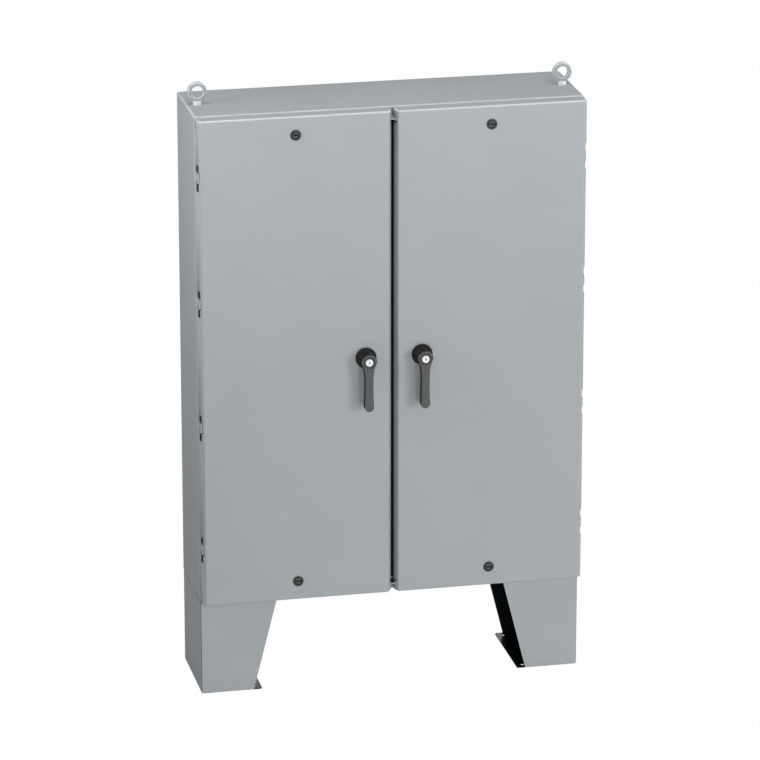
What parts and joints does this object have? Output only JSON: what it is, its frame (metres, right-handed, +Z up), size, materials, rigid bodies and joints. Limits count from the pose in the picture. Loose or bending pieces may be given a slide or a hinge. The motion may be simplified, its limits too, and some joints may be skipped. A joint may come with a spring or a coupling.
{
  "type": "automatic transfer switch",
  "caption": "Free-standing two-door cabinet on legs with lever handles and lifting eyes, holding a double-throw transfer switch and its control gear.",
  "frame": {"origin": "floor level, at the centre of the four anchor holes, midway between the body's front and rear", "axes": "+Z up, -Y out of the doors, +X to the right seen from the front"},
  "size_m": [1.2192, 0.409, 1.9518],
  "materials": {
    "grey_paint": "light grey powder coat with a very fine texture",
    "zinc_steel": "zinc plated",
    "black_handle": "black coated die casting",
    "chrome": "polished",
    "black_latch": "black coated die casting",
    "gasket_rubber": "foamed in place, matt",
    "pocket_plastic": "light grey moulding",
    "panel_white": "white powder coat",
    "copper": "bare copper bar",
    "neutral_copper": "bare copper bar on insulating feet",
    "duct_grey": "grey slotted duct",
    "terminal_grey": "grey moulding",
    "core_steel": "dark varnished steel",
    "controller_black": "black moulding",
    "controller_front": "smooth dark overlay",
    "red_moulding": "dark red moulded insulation",
    "chute_cream": "cream moulded insulation",
    "lug_aluminium": "tin plated",
    "shaft_steel": "plain steel",
    "silver_contact": "silver plated copper",
    "flag_yellow": "yellow moulding",
    "black_grip": "black coated steel",
    "cable_black": "black sleeving"
  },
  "bodies": {
    "cabinet": {"body_wrap": "grey_paint", "rear_panel": "grey_paint", "door_frame": "grey_paint", "center_post": "grey_paint", "left_leg": "grey_paint", "right_leg": "grey_paint", "leg_bolts": "zinc_steel", "lifting_eyes": "grey_paint", "hex_nuts": "zinc_steel", "hinge_leaves": "grey_paint", "hinge_pins": "zinc_steel", "panel_studs": "zinc_steel", "mounting_panel": "panel_white", "ground_bar": "copper", "neutral_bar": "neutral_copper", "wiring_ducts": "duct_grey", "terminal_blocks": "terminal_grey", "control_transformer": "core_steel", "controller_case": "controller_black", "controller_face": "controller_front", "switch_base": "red_moulding", "arc_chutes": "chute_cream", "bus_bars": "copper", "wire_lugs": "lug_aluminium", "operator_coil": "core_steel", "control_harness": "cable_black"},
    "left_door_leaf": {"left_door": "grey_paint", "left_door_gasket": "gasket_rubber", "left_door_stiffener": "grey_paint", "left_hinge_brackets": "grey_paint", "left_handle_base": "black_handle", "left_latch_housings": "black_latch", "document_pocket": "pocket_plastic"},
    "left_lever_and_plate": {"left_lever": "black_handle", "left_latch_plate": "zinc_steel"},
    "left_key": {"left_key_plug": "chrome"},
    "left_rod_up": {"left_upper_rod": "zinc_steel"},
    "left_rod_down": {"left_lower_rod": "zinc_steel"},
    "left_quarter_turn_top": {"left_top_latch": "black_latch"},
    "left_quarter_turn_bottom": {"left_bottom_latch": "black_latch"},
    "right_door_leaf": {"right_door": "grey_paint", "right_door_gasket": "gasket_rubber", "right_door_stiffener": "grey_paint", "right_hinge_brackets": "grey_paint", "right_handle_base": "black_handle", "right_latch_housings": "black_latch"},
    "right_lever_and_plate": {"right_lever": "black_handle", "right_latch_plate": "zinc_steel"},
    "right_key": {"right_key_plug": "chrome"},
    "right_rod_up": {"right_upper_rod": "zinc_steel"},
    "right_rod_down": {"right_lower_rod": "zinc_steel"},
    "right_quarter_turn_top": {"right_top_latch": "black_latch"},
    "right_quarter_turn_bottom": {"right_bottom_latch": "black_latch"},
    "transfer_shaft": {"main_shaft": "shaft_steel", "contact_arms": "silver_contact", "position_flag": "flag_yellow", "manual_handle": "black_grip"},
    "plunger": {"operator_plunger": "shaft_steel"}
  },
  "joints": [
    {"name": "left_door_swing", "type": "hinge", "parent": "cabinet", "child": "left_door_leaf", "pos_m": [-0.6038, -0.186, 1.1], "axis": [0, 0, -1], "range_deg": [0, 125]},
    {"name": "left_lever_turn", "type": "hinge", "parent": "left_door_leaf", "child": "left_lever_and_plate", "pos_m": [-0.089, -0.2304, 1.0929], "axis": [0, 1, 0], "range_deg": [0, 90]},
    {"name": "left_key_turn", "type": "hinge", "parent": "left_lever_and_plate", "child": "left_key", "pos_m": [-0.089, -0.2504, 1.0929], "axis": [0, 1, 0], "range_deg": [0, 90]},
    {"name": "left_upper_rod_slide", "type": "slide", "parent": "left_door_leaf", "child": "left_rod_up", "axis": [0, 0, 1], "range_m": [0, 0.0199]},
    {"name": "left_lower_rod_slide", "type": "slide", "parent": "left_door_leaf", "child": "left_rod_down", "axis": [0, 0, -1], "range_m": [0, 0.0199]},
    {"name": "left_top_latch_turn", "type": "hinge", "parent": "left_door_leaf", "child": "left_quarter_turn_top", "pos_m": [-0.3063, -0.2004, 1.8181], "axis": [0, 1, 0], "range_deg": [0, 90]},
    {"name": "left_bottom_latch_turn", "type": "hinge", "parent": "left_door_leaf", "child": "left_quarter_turn_bottom", "pos_m": [-0.3063, -0.2004, 0.3728], "axis": [0, -1, 0], "range_deg": [0, 90]},
    {"name": "right_door_swing", "type": "hinge", "parent": "cabinet", "child": "right_door_leaf", "pos_m": [0.6038, -0.186, 1.1], "axis": [0, 0, 1], "range_deg": [0, 125]},
    {"name": "right_lever_turn", "type": "hinge", "parent": "right_door_leaf", "child": "right_lever_and_plate", "pos_m": [0.089, -0.2304, 1.0929], "axis": [0, -1, 0], "range_deg": [0, 90]},
    {"name": "right_key_turn", "type": "hinge", "parent": "right_lever_and_plate", "child": "right_key", "pos_m": [0.089, -0.2504, 1.0929], "axis": [0, -1, 0], "range_deg": [0, 90]},
    {"name": "right_upper_rod_slide", "type": "slide", "parent": "right_door_leaf", "child": "right_rod_up", "axis": [0, 0, 1], "range_m": [0, 0.0199]},
    {"name": "right_lower_rod_slide", "type": "slide", "parent": "right_door_leaf", "child": "right_rod_down", "axis": [0, 0, -1], "range_m": [0, 0.0199]},
    {"name": "right_top_latch_turn", "type": "hinge", "parent": "right_door_leaf", "child": "right_quarter_turn_top", "pos_m": [0.3063, -0.2004, 1.8181], "axis": [0, -1, 0], "range_deg": [0, 90]},
    {"name": "right_bottom_latch_turn", "type": "hinge", "parent": "right_door_leaf", "child": "right_quarter_turn_bottom", "pos_m": [0.3063, -0.2004, 0.3728], "axis": [0, 1, 0], "range_deg": [0, 90]},
    {"name": "transfer_shaft_turn", "type": "hinge", "parent": "cabinet", "child": "transfer_shaft", "pos_m": [0, 0.0147, 1.12], "axis": [1, 0, 0], "range_deg": [0, 50]},
    {"name": "plunger_slide", "type": "slide", "parent": "cabinet", "child": "plunger", "axis": [0, 0, -1], "range_m": [0, 0.0297]}
  ],
  "couplings": [
    {"joint": "left_upper_rod_slide", "follows": "left_lever_turn", "m_per_rad": 0.012604},
    {"joint": "left_lower_rod_slide", "follows": "left_lever_turn", "m_per_rad": 0.012604},
    {"joint": "right_upper_rod_slide", "follows": "right_lever_turn", "m_per_rad": 0.012604},
    {"joint": "right_lower_rod_slide", "follows": "right_lever_turn", "m_per_rad": 0.012604},
    {"joint": "plunger_slide", "follows": "transfer_shaft_turn", "m_per_rad": 0.0339}
  ]
}
